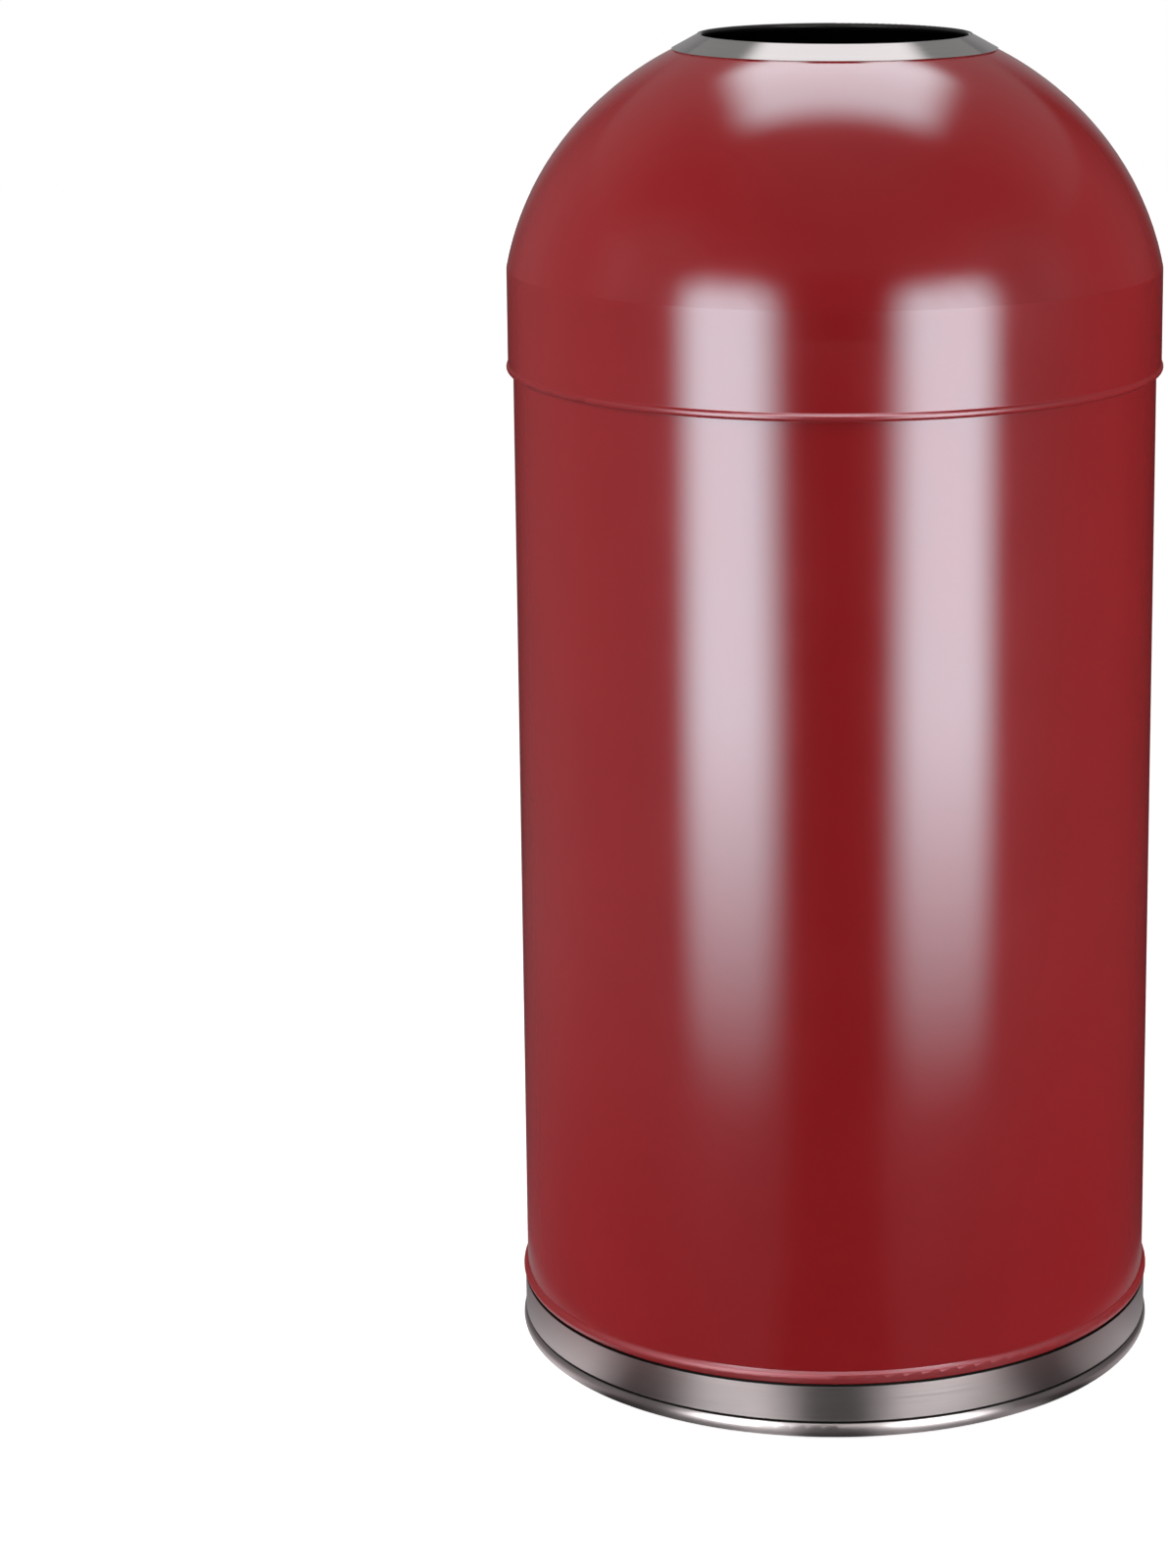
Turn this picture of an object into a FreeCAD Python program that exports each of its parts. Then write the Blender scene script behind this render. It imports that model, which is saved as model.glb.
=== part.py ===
import FreeCAD, Part
import math
import os
from FreeCAD import Vector

# A round outdoor bin: a painted steel can on a stainless base band, a lift-off dome lid with
# an open mouth, and a galvanised pail inside it. Millimetres, Z up, the front faces -Y.
# The origin is on the floor, on the bin's axis. Every round sheet piece is a section of its
# sheet, drawn in the plane of radius and height, turned about that axis.

# Clearances and cuts that several pieces share
slide_gap = 0.4
rest_gap = 0.3
pin_gap = 0.1
overrun = 2.0

# Body: one rolled sheet with a folded top edge, a lap seam and a swaged lip at the bottom
body_radius = 190.0
body_sheet = 0.8
body_top = 594.5
body_bottom = 34.4
top_hem_depth = 9.0
lip_height = 6.9
lip_reach = 3.0
lip_tuck = 0.9
lip_bend = 3.0
seam_width = 12.0

# Neck: a collar welded inside the top of the body, which the lid drops over
neck_sheet = 0.8
neck_grip = 15.0
neck_height = 20.0
neck_lip = 5.0
neck_bend = 2.5

# Base band: bright sheet that steps out under the body and rolls up into the foot
band_sheet = 0.8
band_step = 1.3
band_neck = 22.0
band_bend = 1.2
roll_radius = 4.85
roll_step = 2.6
roll_join = 45.0
roll_sweep = 250.0
groove_depth = 1.1
groove_height = 1.8

# Base tray: the can's floor, which sits on the rolled foot and has a sunk drain
tray_sheet = 1.2
tray_flange = 16.0
tray_bend = 3.0
sump_radius = 55.0
sump_depth = 3.0
sump_slope = 8.0
drain_radius = 6.0

# Rubber feet, and the screw, washer and nut that hold each one
foot_count = 4
foot_proud = 0.8
foot_radius = 16.0
foot_sole_radius = 14.0
foot_edge = 1.5
foot_inset = 16.0
foot_web = 5.0
recess_radius = 6.2
screw_radius = 2.5
screw_head_radius = 4.7
screw_head_height = 3.2
screw_stand = 1.4
washer_radius = 5.6
washer_sheet = 1.0
nut_flats = 8.0
nut_height = 4.0

# Dome lid: a skirt over the neck, a beaded lower edge and a crown that is part of an ellipse
dome_sheet = 0.8
skirt_step = 3.0
bead_stand = 1.0
bead_join = 35.0
bead_sweep = 262.0
dome_swell = 3.0
dome_half_height = 180.0
dome_centre_lift = 29.5

# Mouth ring: polished sheet folded over the edge of the crown
mouth_radius = 77.8
ring_width = 17.2
ring_sheet = 0.8
ring_tilt = 2.5
ring_fold_gap = 0.7
ring_fold_sweep = 184.0
ring_tail = 8.0
crown_edge_inset = 6.2

# Pail: tapered sheet wall with swaged hoops, wired rim, raised floor
pail_sheet = 0.6
pail_side_gap = 17.0
pail_rim_drop = 30.0
pail_taper = 8.0
pail_floor_gap = 4.6
pail_floor_sheet = 0.8
pail_drain_count = 6
pail_drain_radius = 3.0
pail_drain_share = 0.62
hoop_depth = 2.2
hoop_height = 12.0
hoop_low_share = 0.3
hoop_high_drop = 20.0
rim_wire_radius = 2.0
rim_wire_gap = 0.35
rim_sweep = 280.0

# Ears that carry the pail's bail, and their rivets
ear_sheet = 1.6
ear_half_width = 13.0
ear_eye_radius = 8.0
ear_tab = 18.0
ear_jog = 6.0
ear_rim_gap = 0.6
rivet_radius = 2.0
rivet_head_radius = 3.8
rivet_head_height = 1.6
rivet_spacing = 13.0
rivet_lift = 8.0

# Bail: bent wire that folds flat on the pail's rim, with a barrel grip that turns on it
bail_wire_radius = 2.5
bail_bend = 5.5
bail_end_radius = 4.0
bail_end_sheet = 1.6
grip_length = 104.0
grip_end_gap = 4.0
grip_radius = 9.0
grip_end_radius = 7.4
grip_edge = 1.2

# Sizes worked out from those above
floor = Vector(0, 0, 0)
up = Vector(0, 0, 1)
along_x = Vector(1, 0, 0)
half_turn = 180.0
full_turn = 2 * half_turn
roll_chords = 8

neck_radius = body_radius - 2 * body_sheet
neck_lip_radius = neck_radius - neck_sheet / 2 - neck_lip
tray_under = foot_proud + 2 * roll_radius
tray_top = tray_under + tray_sheet

skirt_radius = body_radius + skirt_step
bead_radius = (skirt_radius + bead_stand - neck_radius - slide_gap) / 2
bead_centre = skirt_radius + bead_stand - bead_radius
bead_overhang = bead_centre - body_radius
bead_height = body_top + rest_gap + math.sqrt(bead_radius ** 2 - bead_overhang ** 2)
dome_radius = skirt_radius + dome_swell
dome_centre = body_top + dome_centre_lift
ring_radius = mouth_radius + ring_width
crown_edge = mouth_radius + crown_edge_inset
ring_fold_radius = (dome_sheet + ring_sheet) / 2 + ring_fold_gap

pail_foot = tray_top + rest_gap
pail_rim = body_top - pail_rim_drop
pail_top_radius = neck_lip_radius - pail_side_gap
pail_foot_radius = pail_top_radius - pail_taper
pail_height = pail_rim - pail_foot
pail_floor = pail_foot + nut_height + screw_stand + pail_floor_gap
rim_roll = rim_wire_radius + rim_wire_gap + pail_sheet / 2
rim_reach = 2 * rim_roll + pail_sheet / 2
foot_circle = pail_foot_radius - foot_inset

ear_inner = pail_top_radius + rim_reach + ear_rim_gap
jog_top = pail_rim - rim_roll - pail_sheet / 2 - ear_rim_gap
jog_foot = jog_top - ear_jog
ear_bottom = jog_foot - ear_tab
rivet_height = ear_bottom + rivet_lift
bail_height = pail_rim + rim_roll + pail_sheet / 2 + rest_gap + bail_wire_radius
bail_half_span = ear_inner - rest_gap - bail_bend
grip_half_run = grip_length / 2 + grip_end_gap
grip_reach = math.sqrt(pail_top_radius ** 2 - grip_half_run ** 2) - grip_radius - 2 * rest_gap


def flat(radius, height):
    """A point in the plane of radius and height that every section is drawn in."""
    return Vector(radius, 0, height)


def heading(degrees):
    """The unit vector at an angle from the outward direction, turning towards up."""
    angle = math.radians(degrees)
    return flat(math.cos(angle), math.sin(angle))


def left_of(direction):
    return flat(-direction.z, direction.x)


def line(start, end):
    return Part.LineSegment(start, end).toShape()


def arc(centre, radius, start_angle, sweep):
    """A circular edge from its centre, radius, first angle and signed sweep in degrees."""
    points = [centre + heading(start_angle + sweep * share) * radius for share in (0, 0.5, 1)]
    return Part.Arc(*points).toShape()


def sheet_side(corners, offset, roll):
    """Edges along a bent sheet's middle line, displaced to its left by an offset.

    Each corner is a point and its bend radius, where 0 leaves the corner sharp.
    A roll is a middle radius and a signed sweep, and carries on from the last corner.
    Its hidden inner side is drawn as chords, which leave the sheet nowhere too thin.
    """
    points = [corner[0] for corner in corners]
    runs = [(end - start).normalize() for start, end in zip(points, points[1:])]
    here = points[0] + left_of(runs[0]) * offset
    edges = []
    for (point, bend), before, after in zip(corners[1:-1], runs, runs[1:]):
        turn = math.atan2(left_of(before).dot(after), before.dot(after))
        side = math.copysign(1, turn)
        reach = bend * math.tan(abs(turn) / 2)
        if bend == 0:
            mitre = (left_of(before) + left_of(after)) / (1 + before.dot(after))
            edges.append(line(here, point + mitre * offset))
            here = point + mitre * offset
            continue
        centre = point - before * reach + left_of(before) * side * bend
        middle = (point - centre).normalize()
        radius = bend - side * offset
        first = point - before * reach + left_of(before) * offset
        last = point + after * reach + left_of(after) * offset
        edges.append(line(here, first))
        edges.append(Part.Arc(first, centre + middle * radius, last).toShape())
        here = last
    end = points[-1] + left_of(runs[-1]) * offset
    edges.append(line(here, end))
    if roll:
        radius, sweep = roll
        side = math.copysign(1, sweep)
        centre = points[-1] + left_of(runs[-1]) * side * radius
        spoke = end - centre
        start_angle = math.degrees(math.atan2(spoke.z, spoke.x))
        if spoke.Length > radius:
            edges.append(arc(centre, spoke.Length, start_angle, sweep))
            return edges
        angles = [start_angle + sweep * step / roll_chords for step in range(roll_chords + 1)]
        points = [centre + heading(angle) * spoke.Length for angle in angles]
        edges += [line(start, end) for start, end in zip(points, points[1:])]
    return edges


def sheet_section(corners, sheet, roll=None):
    """The face of a bent sheet's section, from its middle line."""
    near = sheet_side(corners, sheet / 2, roll)
    far = sheet_side(corners, -sheet / 2, roll)
    caps = [line(near[0].firstVertex().Point, far[0].firstVertex().Point)]
    caps.append(line(near[-1].lastVertex().Point, far[-1].lastVertex().Point))
    return Part.Face(Part.Wire(Part.sortEdges(near + far + caps)[0]))


def outline(points):
    """A face from a closed run of straight edges."""
    return Part.Face(Part.makePolygon(points + points[:1]))


def block_section(inner, outer, bottom, top):
    return outline([flat(inner, bottom), flat(outer, bottom), flat(outer, top), flat(inner, top)])


def turned(section, angle=full_turn):
    """The solid that a section sweeps about the bin's axis."""
    return section.revolve(floor, up, angle)


def joined(*shapes):
    return shapes[0].fuse(list(shapes[1:])).removeSplitter()


def roll_entry(line_radius, centre, radius, join):
    """The corner on a wall and the point where its sheet meets a rolled edge as a tangent."""
    spoke = heading(join)
    meeting = centre + spoke * radius
    back = left_of(spoke)
    corner = meeting + back * ((line_radius - meeting.x) / back.x)
    return corner, meeting


def upright_rod(radius, bottom, top):
    return Part.makeCylinder(radius, top - bottom, flat(0, bottom))


def around(shape, count, circle):
    """Copies of a shape at the axis, spread evenly on a circle, the first half a step round."""
    step = full_turn / count
    copies = []
    for index in range(count):
        copy = shape.translated(flat(circle, 0))
        copies.append(copy.rotated(floor, up, step * (index + 1 / 2)))
    return copies


# The can

def make_body_shell():
    middle = body_radius - body_sheet / 2
    corners = [
        (flat(middle + lip_tuck, body_bottom), 0),
        (flat(middle + lip_reach, body_bottom + lip_height / 2), lip_bend),
        (flat(middle, body_bottom + lip_height), 0),
        (flat(middle, body_top), 0),
    ]
    wall = sheet_section(corners, body_sheet)
    hem = block_section(neck_radius, body_radius - body_sheet, body_top - top_hem_depth, body_top)
    lap_top = body_top - top_hem_depth
    lap = block_section(body_radius - body_sheet / 2, body_radius + body_sheet,
                        body_bottom + lip_height, lap_top)
    lap_angle = math.degrees(seam_width / body_radius)
    seam = turned(lap, lap_angle).rotated(floor, up, (half_turn - lap_angle) / 2)
    return joined(turned(joined(wall, hem)), seam)


def make_neck_ring():
    middle = neck_radius - neck_sheet / 2
    corners = [
        (flat(middle, body_top - neck_grip), 0),
        (flat(middle, body_top + neck_height), neck_bend),
        (flat(neck_lip_radius, body_top + neck_height), 0),
    ]
    return turned(sheet_section(corners, neck_sheet))


def make_base_band():
    neck = body_radius - body_sheet - band_sheet / 2
    band = body_radius + band_step - band_sheet / 2
    step_height = body_bottom - band_sheet / 2
    centre = flat(body_radius + roll_step - roll_radius, foot_proud + roll_radius)
    roll = roll_radius - band_sheet / 2
    groove, meeting = roll_entry(band - groove_depth, centre, roll, roll_join)
    corners = [
        (flat(neck, body_bottom + band_neck), 0),
        (flat(neck, step_height), 0),
        (flat(band, step_height), band_bend),
        (flat(band, groove.z + groove_height), 0),
        (groove, 0),
        (meeting, 0),
    ]
    return turned(sheet_section(corners, band_sheet, (roll, -roll_sweep)))


def make_base_tray():
    middle = tray_under + tray_sheet / 2
    wall = body_radius + band_step - band_sheet - tray_sheet / 2
    corners = [
        (flat(drain_radius, middle - sump_depth), 0),
        (flat(sump_radius, middle - sump_depth), 0),
        (flat(sump_radius + sump_slope, middle), 0),
        (flat(wall, middle), tray_bend),
        (flat(wall, middle + tray_flange), 0),
    ]
    tray = turned(sheet_section(corners, tray_sheet))
    hole = upright_rod(screw_radius + pin_gap, tray_under - overrun, tray_top + overrun)
    return tray.cut(around(hole, foot_count, foot_circle))


def make_foot():
    """A turned rubber foot with a recess that hides the screw's head."""
    hole = screw_radius + pin_gap
    recess_top = tray_under - foot_web
    section = outline([
        flat(recess_radius, 0),
        flat(foot_sole_radius - foot_edge, 0),
        flat(foot_sole_radius, foot_edge),
        flat(foot_radius, tray_under - foot_edge),
        flat(foot_radius, tray_under),
        flat(hole, tray_under),
        flat(hole, recess_top),
        flat(recess_radius, recess_top),
    ])
    return turned(section)


def make_foot_washer():
    top = tray_under - foot_web
    disc = upright_rod(washer_radius, top - washer_sheet, top)
    return disc.cut(upright_rod(screw_radius + pin_gap, top - washer_sheet - overrun, top + overrun))


def make_foot_screw():
    """A pan-head screw that stands up through the foot, the tray and the nut."""
    seat = tray_under - foot_web - washer_sheet
    end = tray_top + nut_height + screw_stand
    head = Part.makeCylinder(screw_head_radius, screw_head_height, flat(0, seat - screw_head_height))
    rim = [edge for edge in head.Edges if edge.BoundBox.ZMax < seat and edge.BoundBox.ZLength < pin_gap]
    head = head.makeFillet(screw_head_height / 2, rim)
    return joined(head, upright_rod(screw_radius, seat, end))


def make_foot_nut():
    corner_radius = nut_flats / 2 / math.cos(math.radians(half_turn / 6))
    step = full_turn / 6
    corners = [Vector(corner_radius, 0, tray_top)]
    for _ in range(5):
        corners.append(FreeCAD.Rotation(up, step).multVec(corners[-1]))
    block = outline(corners).extrude(up * nut_height)
    return block.cut(upright_rod(screw_radius + pin_gap, tray_top - overrun, tray_top + nut_height + overrun))


# The lid

def crown_height(radius, swell=0):
    """Height of the crown's ellipse at a radius, or of one that lies inside it by a swell."""
    share = radius / (dome_radius - swell)
    return dome_centre + (dome_half_height - swell) * math.sqrt(1 - share ** 2)


def crown_slope(radius):
    """Angle in degrees at which the crown falls at a radius."""
    share = radius / dome_radius
    fall = dome_half_height / dome_radius * share / math.sqrt(1 - share ** 2)
    return math.degrees(math.atan(fall))


def crown_edge_curve(foot_radius, swell):
    """The part of an ellipse from the skirt's corner to the edge of the crown."""
    centre = flat(0, dome_centre)
    tips = [flat(dome_radius - swell, dome_centre), flat(0, dome_centre + dome_half_height - swell)]
    shorter, longer = sorted(tips, key=centre.distanceToPoint)
    ellipse = Part.Ellipse(longer, shorter, centre)
    ends = [flat(radius, crown_height(radius, swell)) for radius in (foot_radius, crown_edge)]
    first, last = sorted(ellipse.parameter(end) for end in ends)
    return Part.ArcOfEllipse(ellipse, first, last).toShape()


def make_dome_shell():
    middle = skirt_radius - dome_sheet / 2
    crease = crown_height(skirt_radius)
    roll = bead_radius - dome_sheet / 2
    corner, meeting = roll_entry(middle, flat(bead_centre, bead_height), roll, bead_join)
    skirt = sheet_section([(flat(middle, crease), 0), (corner, 0), (meeting, 0)],
                          dome_sheet, (roll, -bead_sweep))
    outside = crown_edge_curve(skirt_radius, 0)
    inside = crown_edge_curve(skirt_radius - dome_sheet, dome_sheet)
    ends = [line(outside.firstVertex().Point, inside.firstVertex().Point)]
    ends.append(line(outside.lastVertex().Point, inside.lastVertex().Point))
    crown = Part.Face(Part.Wire(Part.sortEdges([outside, inside] + ends)[0]))
    return joined(turned(skirt), turned(crown))


def make_mouth_ring():
    """The folded ring: its lip lies on the crown and its fold makes the mouth's rim."""
    ring_slope = crown_slope(ring_radius) + ring_tilt
    slope = math.radians(ring_slope)
    lip_height = crown_height(ring_radius) + ring_sheet / 2 / math.cos(slope)
    fold_centre = mouth_radius + ring_sheet / 2 + ring_fold_radius
    fold_start = fold_centre + ring_fold_radius * math.sin(slope)
    run = (ring_radius - fold_start) / math.cos(slope)
    start = flat(ring_radius, lip_height)
    inward = heading(half_turn - ring_slope)
    leaf = sheet_section([(start, 0), (start + inward * run, 0)], ring_sheet,
                         (ring_fold_radius, ring_fold_sweep))
    back = heading(half_turn - ring_slope + ring_fold_sweep)
    centre = start + inward * run + left_of(inward) * ring_fold_radius
    tail_start = centre - left_of(back) * ring_fold_radius
    tail = sheet_section([(tail_start, 0), (tail_start + back * ring_tail, 0)], ring_sheet)
    return joined(turned(leaf), turned(tail))


# The pail

def pail_radius(height):
    """Outside radius of the pail's wall at a height."""
    share = (height - pail_foot) / pail_height
    return pail_foot_radius + pail_taper * share


pail_lean = math.degrees(math.atan2(pail_taper, pail_height))
rim_start = flat(pail_top_radius - pail_sheet / 2, pail_rim)
rim_wire_centre = rim_start - left_of(heading(half_turn / 2 - pail_lean)) * rim_roll


def pail_middle(height, stand=0):
    return flat(pail_radius(height) - pail_sheet / 2 + stand, height)


def make_pail_wall():
    corners = [(pail_middle(pail_foot), 0)]
    for middle in (pail_foot + pail_height * hoop_low_share, ear_bottom - hoop_high_drop):
        quarter = hoop_height / 4
        corners.append((pail_middle(middle - 2 * quarter), 0))
        corners.append((pail_middle(middle - quarter, hoop_depth), 0))
        corners.append((pail_middle(middle + quarter, hoop_depth), 0))
        corners.append((pail_middle(middle + 2 * quarter), 0))
    corners.append((rim_start, 0))
    wall = turned(sheet_section(corners, pail_sheet, (rim_roll, -rim_sweep)))
    return wall.cut(both_sides(rivet_pair(make_rivet_hole())))


def make_pail_floor():
    """A raised floor whose rim turns down inside the wall, with a ring of drain holes."""
    middle = pail_floor + pail_floor_sheet / 2
    wall = pail_radius(pail_foot) - pail_sheet - pail_floor_sheet / 2
    corners = [
        (flat(0, middle), 0),
        (flat(wall, middle), 0),
        (flat(wall, pail_foot), 0),
    ]
    disc = turned(sheet_section(corners, pail_floor_sheet))
    hole = upright_rod(pail_drain_radius, pail_floor - overrun, pail_floor + pail_floor_sheet + overrun)
    return disc.cut(around(hole, pail_drain_count, pail_foot_radius * pail_drain_share))


def make_rim_wire():
    return Part.makeTorus(rim_wire_centre.x, rim_wire_radius, flat(0, rim_wire_centre.z))


def both_sides(shapes):
    """Shapes on the +X side and their copies on the -X side."""
    return shapes + [shape.rotated(floor, up, half_turn) for shape in shapes]


def make_ear():
    """A pressed ear: a tab on the wall, a jog out round the rim and an eye above it."""
    eye_middle = ear_inner + ear_sheet / 2
    stand = ear_sheet / 2 / math.cos(math.radians(pail_lean))
    corners = [
        (flat(pail_radius(ear_bottom) + stand, ear_bottom), 0),
        (flat(pail_radius(jog_foot) + stand, jog_foot), 0),
        (flat(eye_middle, jog_top), 0),
        (flat(eye_middle, bail_height + ear_eye_radius + overrun), 0),
    ]
    spread = math.degrees(math.atan2(ear_half_width + overrun, pail_foot_radius))
    strip = turned(sheet_section(corners, ear_sheet), 2 * spread).rotated(floor, up, -spread)
    edges = [
        line(Vector(0, -ear_eye_radius, bail_height), Vector(0, -ear_half_width, jog_foot)),
        line(Vector(0, -ear_half_width, jog_foot), Vector(0, -ear_half_width, ear_bottom)),
        line(Vector(0, -ear_half_width, ear_bottom), Vector(0, ear_half_width, ear_bottom)),
        line(Vector(0, ear_half_width, ear_bottom), Vector(0, ear_half_width, jog_foot)),
        line(Vector(0, ear_half_width, jog_foot), Vector(0, ear_eye_radius, bail_height)),
        Part.Arc(Vector(0, ear_eye_radius, bail_height),
                 Vector(0, 0, bail_height + ear_eye_radius),
                 Vector(0, -ear_eye_radius, bail_height)).toShape(),
    ]
    shape = Part.Face(Part.Wire(edges)).extrude(along_x * body_radius)
    eye = Part.makeCylinder(bail_wire_radius + pin_gap, body_radius, Vector(0, 0, bail_height), along_x)
    return strip.common(shape).cut([eye] + rivet_pair(make_rivet_hole()))


def rivet_place(shape):
    """A rivet drawn along X from the wall's outside, set square to the leaning wall."""
    leaned = shape.rotated(floor, Vector(0, 1, 0), pail_lean)
    return leaned.translated(flat(pail_radius(rivet_height), rivet_height))


def rivet_pair(shape):
    turn = math.degrees(math.asin(rivet_spacing / 2 / pail_radius(rivet_height)))
    placed = rivet_place(shape)
    return [placed.rotated(floor, up, side * turn) for side in (-1, 1)]


def make_rivet_hole():
    """The hole that a rivet's shank fills, drawn through the ear and the wall."""
    length = ear_sheet + pail_sheet + 2 * overrun
    return Part.makeCylinder(rivet_radius, length, flat(-pail_sheet - overrun, 0), along_x)


def make_rivet():
    """A rivet turned about X: a shop head inside the pail and a domed head on the ear.

    The shop head is flat, so only its rim meets the hollow side of the wall.
    """
    ball = (rivet_head_radius ** 2 + rivet_head_height ** 2) / (2 * rivet_head_height)
    spread = math.degrees(math.asin(rivet_head_radius / ball))
    dome = arc(flat(ear_sheet + rivet_head_height - ball, 0), ball, 0, spread)
    shop_radius = (rivet_head_radius + rivet_radius) / 2
    hollow = pail_radius(rivet_height) - pail_sheet
    seat = math.sqrt(hollow ** 2 - shop_radius ** 2) - hollow - pail_sheet
    inner = seat - rivet_head_height / 2
    points = [
        flat(ear_sheet + rivet_head_height, 0),
        flat(inner, 0),
        flat(inner, shop_radius),
        flat(seat, shop_radius),
        flat(seat, rivet_radius),
        flat(ear_sheet, rivet_radius),
        flat(ear_sheet, rivet_head_radius),
    ]
    edges = [line(start, end) for start, end in zip(points, points[1:])]
    section = Part.Face(Part.Wire(edges + [dome]))
    return section.revolve(floor, along_x, full_turn)


# The bail and its grip

def level(x, y):
    """A point at the height of the bail, which lies flat when it is folded."""
    return Vector(x, y, bail_height)


def level_arc(centre, radius, start_angle, sweep):
    points = []
    for share in (0, 0.5, 1):
        angle = math.radians(start_angle + sweep * share)
        points.append(centre + Vector(math.cos(angle), math.sin(angle), 0) * radius)
    return Part.Arc(*points).toShape()


def make_bail():
    """The wire's path: an end through each ear, a side arc on the rim and a straight grip run.

    The side arc and the corner arc that leads to the grip run share a tangent, which
    settles how far the corner's centre lies from that of the side arc.
    """
    surplus = bail_half_span + bail_bend - grip_reach
    throw = (grip_half_run ** 2 + surplus ** 2) / (2 * surplus)
    corner_radius = bail_half_span - throw
    corner_angle = math.degrees(math.acos(grip_half_run / throw))
    quarter = half_turn / 2
    end_x = ear_inner + ear_sheet + rest_gap
    right = [
        line(level(end_x, 0), level(bail_half_span + bail_bend, 0)),
        level_arc(level(bail_half_span + bail_bend, bail_bend), bail_bend, -quarter, -quarter),
        level_arc(level(0, bail_bend), bail_half_span, 0, corner_angle),
        level_arc(level(grip_half_run, grip_reach - corner_radius), corner_radius,
                  corner_angle, quarter - corner_angle),
    ]
    left = [edge.mirror(floor, along_x) for edge in reversed(right)]
    grip_run = line(level(grip_half_run, grip_reach), level(-grip_half_run, grip_reach))
    path = Part.Wire(Part.sortEdges(right + [grip_run] + left)[0])
    start = path.OrderedVertexes[0].Point
    circle = Part.Wire(Part.Circle(start, along_x, bail_wire_radius).toShape())
    wire = path.makePipeShell([circle], True, False)
    expected = math.pi * bail_wire_radius ** 2 * path.Length
    print("bail wire volume over section times length:", round(wire.Volume / expected, 4))
    end = Part.makeCylinder(bail_end_radius, bail_end_sheet, level(end_x, 0), along_x)
    return joined(wire, end, end.mirror(floor, along_x))


def make_grip():
    """A barrel grip, turned about the straight run of the bail."""
    half = grip_length / 2
    bore = bail_wire_radius + pin_gap
    crown = Part.Arc(flat(half - grip_edge, grip_end_radius), flat(0, grip_radius),
                     flat(grip_edge - half, grip_end_radius)).toShape()
    points = [
        flat(half - grip_edge, grip_end_radius),
        flat(half, grip_end_radius - grip_edge),
        flat(half, bore),
        flat(-half, bore),
        flat(-half, grip_end_radius - grip_edge),
        flat(grip_edge - half, grip_end_radius),
    ]
    edges = [line(start, end) for start, end in zip(points, points[1:])]
    barrel = Part.Face(Part.Wire(edges + [crown])).revolve(floor, along_x, full_turn)
    return barrel.translated(level(0, grip_reach))


def all_nodes():
    """Every node's name and its shape."""
    nodes = {
        "body_shell": make_body_shell(),
        "neck_ring": make_neck_ring(),
        "base_band": make_base_band(),
        "base_tray": make_base_tray(),
        "dome_shell": make_dome_shell(),
        "mouth_ring": make_mouth_ring(),
        "pail_wall": make_pail_wall(),
        "pail_floor": make_pail_floor(),
        "pail_rim_wire": make_rim_wire(),
        "pail_bail": make_bail(),
        "bail_grip": make_grip(),
    }
    for index, foot in enumerate(around(make_foot(), foot_count, foot_circle), start=1):
        nodes[f"rubber_foot_{index}"] = foot
    nodes["foot_washers"] = Part.makeCompound(around(make_foot_washer(), foot_count, foot_circle))
    nodes["foot_screws"] = Part.makeCompound(around(make_foot_screw(), foot_count, foot_circle))
    nodes["foot_nuts"] = Part.makeCompound(around(make_foot_nut(), foot_count, foot_circle))
    nodes["right_ear"], nodes["left_ear"] = both_sides([make_ear()])
    nodes["ear_rivets"] = Part.makeCompound(both_sides(rivet_pair(make_rivet())))
    return nodes


os.makedirs("parts", exist_ok=True)
for name, shape in all_nodes().items():
    shape.exportStep(f"parts/{name}.step")
    box = shape.BoundBox
    print(name, len(shape.Solids), shape.isValid(), round(shape.Volume), round(box.XMax, 1),
          round(box.ZMin, 2), round(box.ZMax, 2))
print("bail height", round(bail_height, 2), "grip reach", round(grip_reach, 1))
print("mouth ring outside", ring_radius, "pail foot radius", round(pail_foot_radius, 1))
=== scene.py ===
# %% [markdown]
# # A red steel litter bin, dressed for the studio
# The bin is a lacquered steel can on a bright base band, with a lift-off dome lid and a galvanised
# pail inside. Its solids come from the frame, at their real size and place. This script gives each
# of them the finish of the real metal, rubber or plastic, and adds the small details that are too
# fine for the solids. Everything is in metres, and the bin's front faces -Y.

# %% Load the frame
import math

import bpy
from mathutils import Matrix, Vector


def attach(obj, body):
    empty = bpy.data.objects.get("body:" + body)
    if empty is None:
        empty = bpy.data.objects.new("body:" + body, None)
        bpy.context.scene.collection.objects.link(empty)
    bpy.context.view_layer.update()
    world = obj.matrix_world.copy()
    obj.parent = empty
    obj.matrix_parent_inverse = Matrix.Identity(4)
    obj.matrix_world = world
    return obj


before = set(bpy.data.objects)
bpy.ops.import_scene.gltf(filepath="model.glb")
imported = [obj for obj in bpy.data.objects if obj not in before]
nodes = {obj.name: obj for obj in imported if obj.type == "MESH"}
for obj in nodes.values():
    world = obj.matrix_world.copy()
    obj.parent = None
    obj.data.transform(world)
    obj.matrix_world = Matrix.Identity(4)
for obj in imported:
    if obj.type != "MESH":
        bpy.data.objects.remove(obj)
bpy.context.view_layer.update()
mm = 0.001
print("solids in the frame:", len(nodes))

# %% [markdown]
# ## Camera
# The photograph looks slightly down on the bin from the front, with the bin right of the middle.
# Its sides stay upright because the lens was shifted a long way. So large a shift would carry the
# bin out of the other views, so a small one keeps the bin where the photograph has it, and the
# camera is pitched down for the rest. The focal length in pixels turns into millimetres on a
# sensor whose long side is as tall as the picture.

# %% Camera
picture_width_px = 1192
picture_height_px = 1600
bin_axis_px = 852
horizon_axis_px = 552
focal_px = 4010
sensor_mm = 36
camera_distance = 2.3
camera_height = 0.965
camera_pitch = 11.7

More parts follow.
